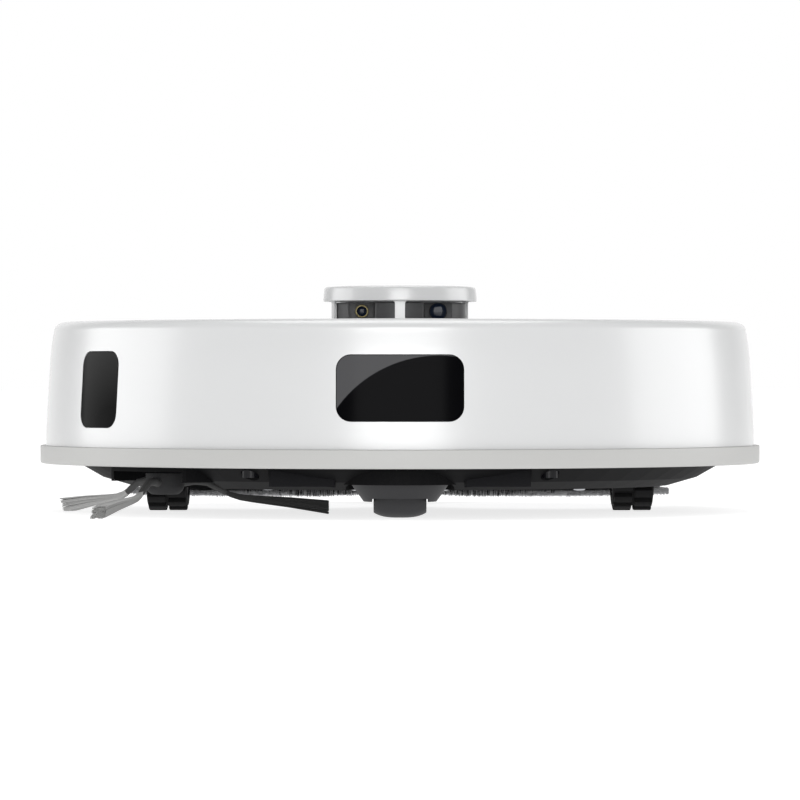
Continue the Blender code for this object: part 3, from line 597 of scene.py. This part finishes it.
def pillar(name, inner, outer, low, high):
    """A flat post facing -Y that flares into the cap above it with a fillet on each side."""
    half, fillet = 2.45 * MM, 1.6 * MM
    right = [(half, low)]
    for step in range(7):
        angle = math.pi / 2 * step / 6
        right.append((half + fillet * (1 - math.cos(angle)), CAP_LOW - fillet + fillet * math.sin(angle)))
    right.append((half + fillet, high))
    outline = right + [(-x, z) for x, z in reversed(right)]
    shape = bmesh.new()
    front, back = [[shape.verts.new((x, y, z)) for x, z in outline] for y in (-outer, -inner)]
    count = len(outline)
    for i in range(count):
        j = (i + 1) % count
        shape.faces.new((front[i], front[j], back[j], back[i]))
    shape.faces.new(front)
    shape.faces.new(reversed(back))
    return finish_mesh(name, shape, WHITE)


def scan_head():
    low, high = 77 * MM, 101.8 * MM
    drum = lathe(
        "scan_drum",
        soften(
            [
                (0, high),
                (ROTOR_RADIUS, high, 0.8 * MM),
                (ROTOR_RADIUS, 84 * MM),
                (27 * MM, 83 * MM),
                (27 * MM, 79.5 * MM),
                (ROTOR_RADIUS, 78.5 * MM),
                (ROTOR_RADIUS, low, 0.4 * MM),
                (0, low),
            ]
        ),
        DRUM,
        (0, TURRET_Y, 0),
        steps=96,
    )
    for across, half in ((-LENS_X, 6.5 * MM), (LENS_X, 7.2 * MM)):
        # The cutting tools carry the recess's painted-shade finish.
        tool = block(
            "tool",
            (across - half, RECESS_Y - ROTOR_RADIUS, LENS_Z - 5 * MM),
            (across + half, RECESS_Y, LENS_Z + 5 * MM),
            RECESS_PAINTED_SHADE,
            edge=0.8 * MM,
        )
        carve(drum, tool)
    ride("scan_head", drum, replaces="lds_rotor", slot="lds_rotor")
    emitter = ("lds_emitter_lens", -LENS_X, 2.5 * MM, 3.3 * MM, BRASS)
    receiver = ("lds_receiver_lens", LENS_X, 4.15 * MM, 4.4 * MM, GLOSS)
    for lens in (emitter, receiver):
        scan_lens(*lens)


def scan_lens(name, across, inner, outer, ring_finish):
    """A lens with a bulging face, in a short barrel that points straight ahead."""
    length = 2.2 * MM
    front = RECESS_Y - GAP - length
    barrel = lathe(
        f"{name}_barrel",
        soften([(inner, 0), (outer, 0), (outer, length, 0.3 * MM), (inner, length)]),
        ring_finish,
        axis="Y",
        steps=48,
    )
    bulge = lathe(
        f"{name}_glass",
        [
            (0, length - 0.9 * MM),
            (inner * 0.5, length - 1.0 * MM),
            (inner * 0.85, length - 1.25 * MM),
            (inner, length - 1.5 * MM),
            (inner, 0.1 * MM),
            (0, 0.1 * MM),
        ],
        LENS,
        axis="Y",
        steps=48,
    )
    for piece in (barrel, bulge):
        piece.data.transform(Matrix.Translation((across, front + length, LENS_Z)))
    ride("scan_head", bulge, barrel, replaces=name, slot=name)


# ---------------------------------------------------------------- caster


def caster():
    fork = lathe(
        "caster_housing",
        soften(
            [
                (0, 34 * MM),
                (3.4 * MM, 34 * MM),
                (3.4 * MM, 24.2 * MM),
                (14.8 * MM, 24.2 * MM, 0.5 * MM),
                (14.8 * MM, 18.6 * MM),
                (23.8 * MM, 18.4 * MM, 0.5 * MM),
                (23.8 * MM, 17.2 * MM, 0.4 * MM),
                (16.8 * MM, 7.5 * MM, 0.5 * MM),
                (0, 7.5 * MM),
            ]
        ),
        CHARCOAL,
        (0, CASTER_Y, 0),
        steps=96,
    )
    wheel_y = CASTER_Y + 2 * MM
    slot = block(
        "tool",
        (-12.8 * MM, wheel_y - 10.8 * MM, -5 * MM),
        (12.8 * MM, wheel_y + 10.8 * MM, 21.2 * MM),
        CHARCOAL,
        edge=1 * MM,
    )
    carve(fork, slot)
    belly = block(
        "tool",
        (-12.8 * MM, -300 * MM, -5 * MM),
        (12.8 * MM, 100 * MM, 9.1 * MM),
        CHARCOAL,
        edge=0.6 * MM,
    )
    carve(fork, belly)
    fork.data.shade_smooth()
    fork.data.set_sharp_from_angle(angle=math.radians(25))
    ride("caster_swivel_body", fork, replaces="caster_fork", slot="caster_fork")
    half = 12.2 * MM
    outline = [(1.8 * MM, half), (7.4 * MM, half)]
    for step in range(17):
        t = -1 + 2 * step / 16
        outline.append((CASTER_RADIUS - 2.2 * MM * abs(t) ** 3.2, -half * t * 0.985))
    outline += [(7.4 * MM, -half), (1.8 * MM, -half)]
    wheel = lathe("caster_barrel", outline, CHARCOAL, (0, wheel_y, CASTER_RADIUS), "X", steps=96, sharp=50)
    ride("caster_roller", wheel, replaces="caster_wheel", slot="caster_wheel")


# ---------------------------------------------------------------- drive wheels


def drive_wheel(side, word):
    half = WHEEL_WIDTH / 2
    place = (side * WHEEL_X, WHEEL_Y, WHEEL_RADIUS)
    tread = WHEEL_RADIUS - 2.2 * MM
    tyre = lathe(
        f"{word}_tyre_band",
        soften(
            [
                (tread, half, 0.8 * MM),
                (tread, -half, 0.8 * MM),
                (26.8 * MM, -half, 0.6 * MM),
                (26.8 * MM, half, 0.6 * MM),
            ]
        ),
        TYRE,
        place,
        "X",
        steps=96,
    )
    shape = bmesh.new()
    per_row = 22
    lug_size = Matrix.Diagonal((8.6 * MM, 5.4 * MM, 3.4 * MM, 1))
    for row, shift in ((-4.9 * MM, 0.0), (4.9 * MM, 0.5)):
        for i in range(per_row):
            turn = Matrix.Rotation(2 * math.pi * (i + shift) / per_row, 4, "X")
            lug = bmesh.new()
            out = Matrix.Translation((row, 0, WHEEL_RADIUS - 1.7 * MM))
            bmesh.ops.create_cube(lug, size=1, matrix=out @ lug_size)
            bmesh.ops.bevel(lug, geom=lug.edges[:], offset=0.5 * MM, segments=2, profile=0.5, affect="EDGES")
            bmesh.ops.transform(lug, verts=lug.verts, matrix=Matrix.Translation(place) @ turn)
            piece = bpy.data.meshes.new("lug")
            lug.to_mesh(piece)
            lug.free()
            shape.from_mesh(piece)
            bpy.data.meshes.remove(piece)
    lugs = finish_mesh(f"{word}_tyre_lugs", shape, TYRE)
    ride(f"{word}_wheel", tyre, lugs, replaces=f"{word}_wheel_tyre", slot=f"{word}_wheel_tyre")
    rim = lathe(
        f"{word}_rim_disc",
        soften(
            [
                (0, half - 4 * MM),
                (6 * MM, half - 4 * MM, 0.5 * MM),
                (7 * MM, half - 1.5 * MM, 0.6 * MM),
                (9 * MM, half - 4.5 * MM, 0.8 * MM),
                (19 * MM, half - 4.5 * MM, 1 * MM),
                (22 * MM, half - 0.6 * MM, 0.8 * MM),
                (26.5 * MM, half - 0.6 * MM, 0.5 * MM),
                (26.5 * MM, 0.6 * MM - half),
                (0, 0.6 * MM - half),
            ]
        ),
        CHARCOAL,
        (0, 0, 0),
        "X",
        steps=96,
    )
    if side < 0:
        rim.data.transform(Matrix.Rotation(math.pi, 4, "Z"))
    rim.data.transform(Matrix.Translation(place))
    ride(f"{word}_wheel", rim, replaces=f"{word}_wheel_rim", slot=f"{word}_wheel_rim")


# ---------------------------------------------------------------- roller and side brush


def roller():
    core = lathe(
        "roller_core",
        soften(
            [
                (0, 79 * MM),
                (4 * MM, 79 * MM, 0.3 * MM),
                (4 * MM, 74.5 * MM),
                (13.4 * MM, 74.2 * MM, 0.8 * MM),
                (13.4 * MM, -74.2 * MM, 0.8 * MM),
                (4 * MM, -74.5 * MM),
                (4 * MM, -78.4 * MM, 0.3 * MM),
                (0, -78.4 * MM),
            ]
        ),
        RUBBER,
        (0, BRUSH_Y, BRUSH_Z),
        "X",
        steps=64,
    )
    chance = random.Random(3)
    shape = bmesh.new()
    rows, tufts, hairs = 5, 52, 12
    root, reach_out = 12.8 * MM, BRUSH_RADIUS - 0.2 * MM
    for row in range(rows):
        for i in range(tufts):
            along = (-72.5 + 145 * i / (tufts - 1)) * MM
            turn = 2 * math.pi * row / rows + math.radians(100) * abs(along) / (74 * MM)
            for _ in range(hairs):
                x = along + chance.gauss(0, 1.1) * MM
                angle = turn + chance.gauss(0, 0.05)
                lean = chance.gauss(0, 0.06)
                points = []
                for step in range(3):
                    reach = root + (reach_out - root) * step / 2
                    bend = angle + lean * (step / 2) ** 2
                    points.append(
                        Vector(
                            (
                                x + chance.gauss(0, 0.15) * MM * step,
                                BRUSH_Y + reach * math.cos(bend),
                                BRUSH_Z + reach * math.sin(bend),
                            )
                        )
                    )
                strand(shape, points, 0.16 * MM, 0.1 * MM)
    bristles = finish_mesh("roller_bristles", shape, BRISTLE)
    ride("roller", core, bristles, replaces="brush_roller", slot="brush_roller")


def side_brush():
    hub = lathe(
        "side_hub",
        soften(
            [
                (0, 33 * MM),
                (2.6 * MM, 33 * MM),
                (2.6 * MM, 20.2 * MM),
                (9 * MM, 20.2 * MM, 0.5 * MM),
                (9 * MM, 12.4 * MM, 1.6 * MM),
                (6.4 * MM, 10 * MM, 0.8 * MM),
                (4.2 * MM, 10 * MM, 0.4 * MM),
                (3.8 * MM, 11.2 * MM, 0.3 * MM),
                (0, 11.2 * MM),
            ]
        ),
        RUBBER,
        tuple(SIDE_BRUSH),
        steps=64,
    )
    screw = lathe(
        "side_hub_screw",
        soften([(0, 10.6 * MM), (3 * MM, 10.6 * MM, 0.5 * MM), (3.2 * MM, 11.8 * MM), (0, 11.8 * MM)]),
        STEEL,
        tuple(SIDE_BRUSH),
        steps=32,
    )
    ride("side_brush", hub, screw, replaces="side_brush_hub", slot="side_brush_hub")
    # Tuft 1 takes the darker bristle copy, which paints the shade it sits in; tufts 2 and 3 take the pale
    # bristle.
    tufts = ((10, 0.0, BRISTLE_PAINTED_SHADE), (130, 1.5, PALE_BRISTLE), (-110, -1.5, PALE_BRISTLE))
    for number, (bearing, slant, finish) in enumerate(tufts, start=1):
        side_tuft(number, math.radians(bearing), slant * MM, finish)


def side_tuft(number, bearing, slant, finish):
    """A short rubber arm, then a dense bundle of long bristles that fans out to a straight cut end.

    The slant is how far the cut lets the bundle's upper bristles run past its middle ones.
    """
    along = Vector((math.cos(bearing), math.sin(bearing), 0))
    across = Vector((-along.y, along.x, 0))
    arm_path = ((8.0, 15.4), (14, 16.3), (20, 15.6), (25, 13.0), (29, 10.8))  # reach from the axis, height
    bristle_path = ((27, 11.9), (31, 9.8), (35.5, 8.5), (41, 7.8), (59, 6.0), (77.3, 3.7))
    shape = bmesh.new()
    points = [SIDE_BRUSH + along * reach * MM + Vector((0, 0, height * MM)) for reach, height in arm_path]
    strand(shape, points, 2.0 * MM, 1.5 * MM, sides=12)
    arm = finish_mesh(f"side_arm_{number}", shape, ARM_RUBBER, sharp=60)
    chance = random.Random(number)
    first, last = bristle_path[0][0], bristle_path[-1][0]
    shape = bmesh.new()
    for _ in range(300):
        spread, rise = chance.uniform(-1, 1), chance.uniform(-1, 1)
        longer = rise * slant + chance.uniform(-0.3, 0) * MM
        points = []
        for reach, height in bristle_path:
            t = (reach - first) / (last - first)
            middle = SIDE_BRUSH + along * (reach * MM + longer * t) + Vector((0, 0, height * MM))
            points.append(
                middle
                + across * spread * (1.0 + 2.8 * t) * MM
                + Vector((0, 0, rise * (0.9 + 2.2 * t) * MM))
            )
        strand(shape, points, 0.26 * MM, 0.2 * MM)
    hairs = finish_mesh(f"side_bristles_{number}", shape, finish)
    ride("side_brush", hairs, arm, replaces=f"side_brush_tuft_{number}", slot=f"side_brush_tuft_{number}")


# ---------------------------------------------------------------- mops


def mop(side, word):
    pad_top = 9.2 * MM
    place = Vector((side * MOP_X, MOP_Y, 0))
    plate = lathe(
        f"{word}_mop_carrier",
        soften(
            [
                (0, 33 * MM),
                (4 * MM, 33 * MM),
                (4 * MM, 21.6 * MM),
                (7.6 * MM, 21.6 * MM),
                (7.6 * MM, 11.4 * MM),
                (58 * MM, 11.1 * MM, 0.5 * MM),
                (60.5 * MM, 10.3 * MM, 0.5 * MM),
                (60.5 * MM, pad_top + 0.1 * MM),
                (0, pad_top + 0.1 * MM),
            ]
        ),
        CHARCOAL,
        tuple(place),
        steps=96,
    )
    ride(f"{word}_mop", plate, replaces=f"{word}_mop_plate", slot=f"{word}_mop_plate")
    pad = lathe(
        f"{word}_mop_cloth",
        soften(
            [
                (0, pad_top),
                (MOP_RADIUS - 1 * MM, pad_top, 1.2 * MM),
                (MOP_RADIUS - 1 * MM, MOP_BOTTOM + 0.5 * MM, 1.4 * MM),
                (0, MOP_BOTTOM + 0.5 * MM),
            ]
        ),
        PLUSH,
        tuple(place),
        steps=120,
    )
    chance = random.Random(side + 5)
    shape = bmesh.new()
    for _ in range(4200):
        angle = chance.uniform(0, 2 * math.pi)
        edge = chance.random() < 0.62
        out = Vector((math.cos(angle), math.sin(angle), 0))
        if edge:
            root = place + out * (MOP_RADIUS - 1.2 * MM) + Vector((0, 0, chance.uniform(6.8, 9.0) * MM))
            upward = Vector((0, 0, chance.uniform(-0.7, 0.35)))
            aim = (out + upward + out.orthogonal() * chance.gauss(0, 0.3)).normalized()
            reach = 1.3 * MM
        else:
            radius = (MOP_RADIUS - 1.4 * MM) * math.sqrt(chance.random())
            root = place + out * radius + Vector((0, 0, MOP_BOTTOM + 0.7 * MM))
            aim = Vector((chance.gauss(0, 0.5), chance.gauss(0, 0.5), -0.5)).normalized()
            reach = 0.9 * MM
        droop = Vector((0, 0, -0.25 * reach))
        strand(shape, [root, root + aim * reach * 0.6, root + aim * reach + droop], 0.16 * MM, 0.09 * MM)
    pile = finish_mesh(f"{word}_mop_pile", shape, PLUSH)
    ride(f"{word}_mop", pad, pile, replaces=f"{word}_mop_pad", slot=f"{word}_mop_pad")


# ---------------------------------------------------------------- underside trim


def underside_screws():
    # plan positions in millimetres
    places = [(-20, -98), (20, -98), (-62, -84), (84, -92), (-84, -14), (84, -14)]
    places += [(-84, 60), (84, 60), (-20, 60), (20, 60), (0, 150)]
    for number, (x, y) in enumerate(places):
        head = lathe(
            f"underside_screw_{number}",
            soften(
                [
                    (0, PAN_BOTTOM - 0.2 * MM),
                    (1.1 * MM, PAN_BOTTOM - 0.2 * MM),
                    (1.2 * MM, PAN_BOTTOM - 0.9 * MM),
                    (2.6 * MM, PAN_BOTTOM - 0.7 * MM, 0.4 * MM),
                    (2.9 * MM, PAN_BOTTOM + 0.4 * MM),
                    (0, PAN_BOTTOM + 0.4 * MM),
                ]
            ),
            STEEL,
            (x * MM, y * MM, 0),
            steps=24,
        )
        ride("body", head, slot="chassis_pan")


# ---------------------------------------------------------------- studio


def soft_light(name, place, aim, size, power, size_y):
    data = bpy.data.lights.new(name, "AREA")
    data.shape = "RECTANGLE"
    data.size = size
    data.size_y = size_y
    data.energy = power
    made = bpy.data.objects.new(name, data)
    bpy.context.scene.collection.objects.link(made)
    made.location = place
    made.rotation_euler = (Vector(aim) - Vector(place)).to_track_quat("-Z", "Y").to_euler()


def studio_world():
    """An even white surround, a little brighter overhead, with a bright backdrop behind the machine."""
    world = bpy.data.worlds.new("studio")
    world.use_nodes = True
    tree = world.node_tree
    sky = tree.nodes["Background"]
    sky.inputs["Color"].default_value = (1, 1, 1, 1)
    direction = tree.nodes.new("ShaderNodeTexCoord")
    parts = tree.nodes.new("ShaderNodeSeparateXYZ")
    tree.links.new(direction.outputs["Generated"], parts.inputs["Vector"])
    total = tree.nodes.new("ShaderNodeMath")
    total.operation = "ADD"
    tree.links.new(total.outputs["Value"], sky.inputs["Strength"])
    ramps = (("Z", 0.1, 0.45, 0.38, 0.45), ("Y", 0.75, 0.95, 0.0, 0.62))
    for slot, (along, start, end, low, high) in enumerate(ramps):
        fade = tree.nodes.new("ShaderNodeMapRange")
        fade.inputs["From Min"].default_value = start
        fade.inputs["From Max"].default_value = end
        fade.inputs["To Min"].default_value = low
        fade.inputs["To Max"].default_value = high
        tree.links.new(parts.outputs[along], fade.inputs["Value"])
        tree.links.new(fade.outputs["Result"], total.inputs[slot])
    return world


def studio():
    bpy.context.scene.world = studio_world()
    made, shader = new_material("studio_floor", (0.4, 0.4, 0.4), 0.9)
    shader.inputs["Emission Color"].default_value = (1, 1, 1, 1)
    shader.inputs["Emission Strength"].default_value = 0.78
    shape = bmesh.new()
    bmesh.ops.create_grid(shape, x_segments=1, y_segments=1, size=30)
    floor = finish_mesh("studio_floor", shape, made)
    middle = (0, 0, 0.05)
    soft_light("front_box", (0, -2.7, 0.4), middle, 1.35, 35, size_y=1.2)
    soft_light("left_box", (-2.2, 0.35, 0.4), middle, 1.8, 14, size_y=1.0)
    soft_light("right_box", (2.2, 0.35, 0.4), middle, 1.8, 14, size_y=1.0)
    soft_light("top_box", (0, 0.4, 2.4), middle, 1.8, 26, size_y=1.8)
    data = bpy.data.cameras.new("camera")
    data.lens = CAMERA_LENS
    data.sensor_width = 36
    data.shift_y = CAMERA_SHIFT
    data.clip_start = 0.05
    camera = bpy.data.objects.new("camera", data)
    bpy.context.scene.collection.objects.link(camera)
    camera.location = (0, -CAMERA_DISTANCE, CAMERA_HEIGHT)
    camera.rotation_euler = (math.pi / 2, 0, 0)
    bpy.context.scene.camera = camera
    bpy.context.scene.view_settings.view_transform = "Standard"


CAD_FINISHES = {
    "battery_pack": CELL,
    "main_board": BOARD,
    "dust_filter": PAPER,
    "dust_bin": GLOSS,
    "cliff_window_left": GLOSS,
    "cliff_window_right": GLOSS,
    "chassis_pan": BLACK,
    "brush_frame": BLACK,
    "lds_belt": RUBBER,
    "charging_contact_left": DARK_METAL,
    "charging_contact_right": DARK_METAL,
}
METAL_WORDS = ("motor", "spring", "pin", "axle", "bearing")


def dress_cad(nodes):
    """Gives every solid carried over from the CAD a finish of its own."""
    for name, node in nodes.items():
        finish = CAD_FINISHES.get(name)
        if finish is None:
            finish = STEEL if any(word in name for word in METAL_WORDS) and "pulley" not in name else CHARCOAL
        node.data.materials.clear()
        node.data.materials.append(finish)


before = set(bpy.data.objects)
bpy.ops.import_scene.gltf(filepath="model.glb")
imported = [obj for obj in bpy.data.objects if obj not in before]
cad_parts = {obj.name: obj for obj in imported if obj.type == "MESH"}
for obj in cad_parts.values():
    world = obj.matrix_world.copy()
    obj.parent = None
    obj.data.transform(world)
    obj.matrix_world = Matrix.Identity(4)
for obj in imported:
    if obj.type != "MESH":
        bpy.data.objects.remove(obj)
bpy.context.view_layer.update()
dress_cad(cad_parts)
bumper()
shell()
lid()
keys()
turret()
scan_head()
caster()
roller()
side_brush()
for sign, label in ((-1, "right"), (1, "left")):
    drive_wheel(sign, label)
    mop(sign, label)
underside_screws()
studio()
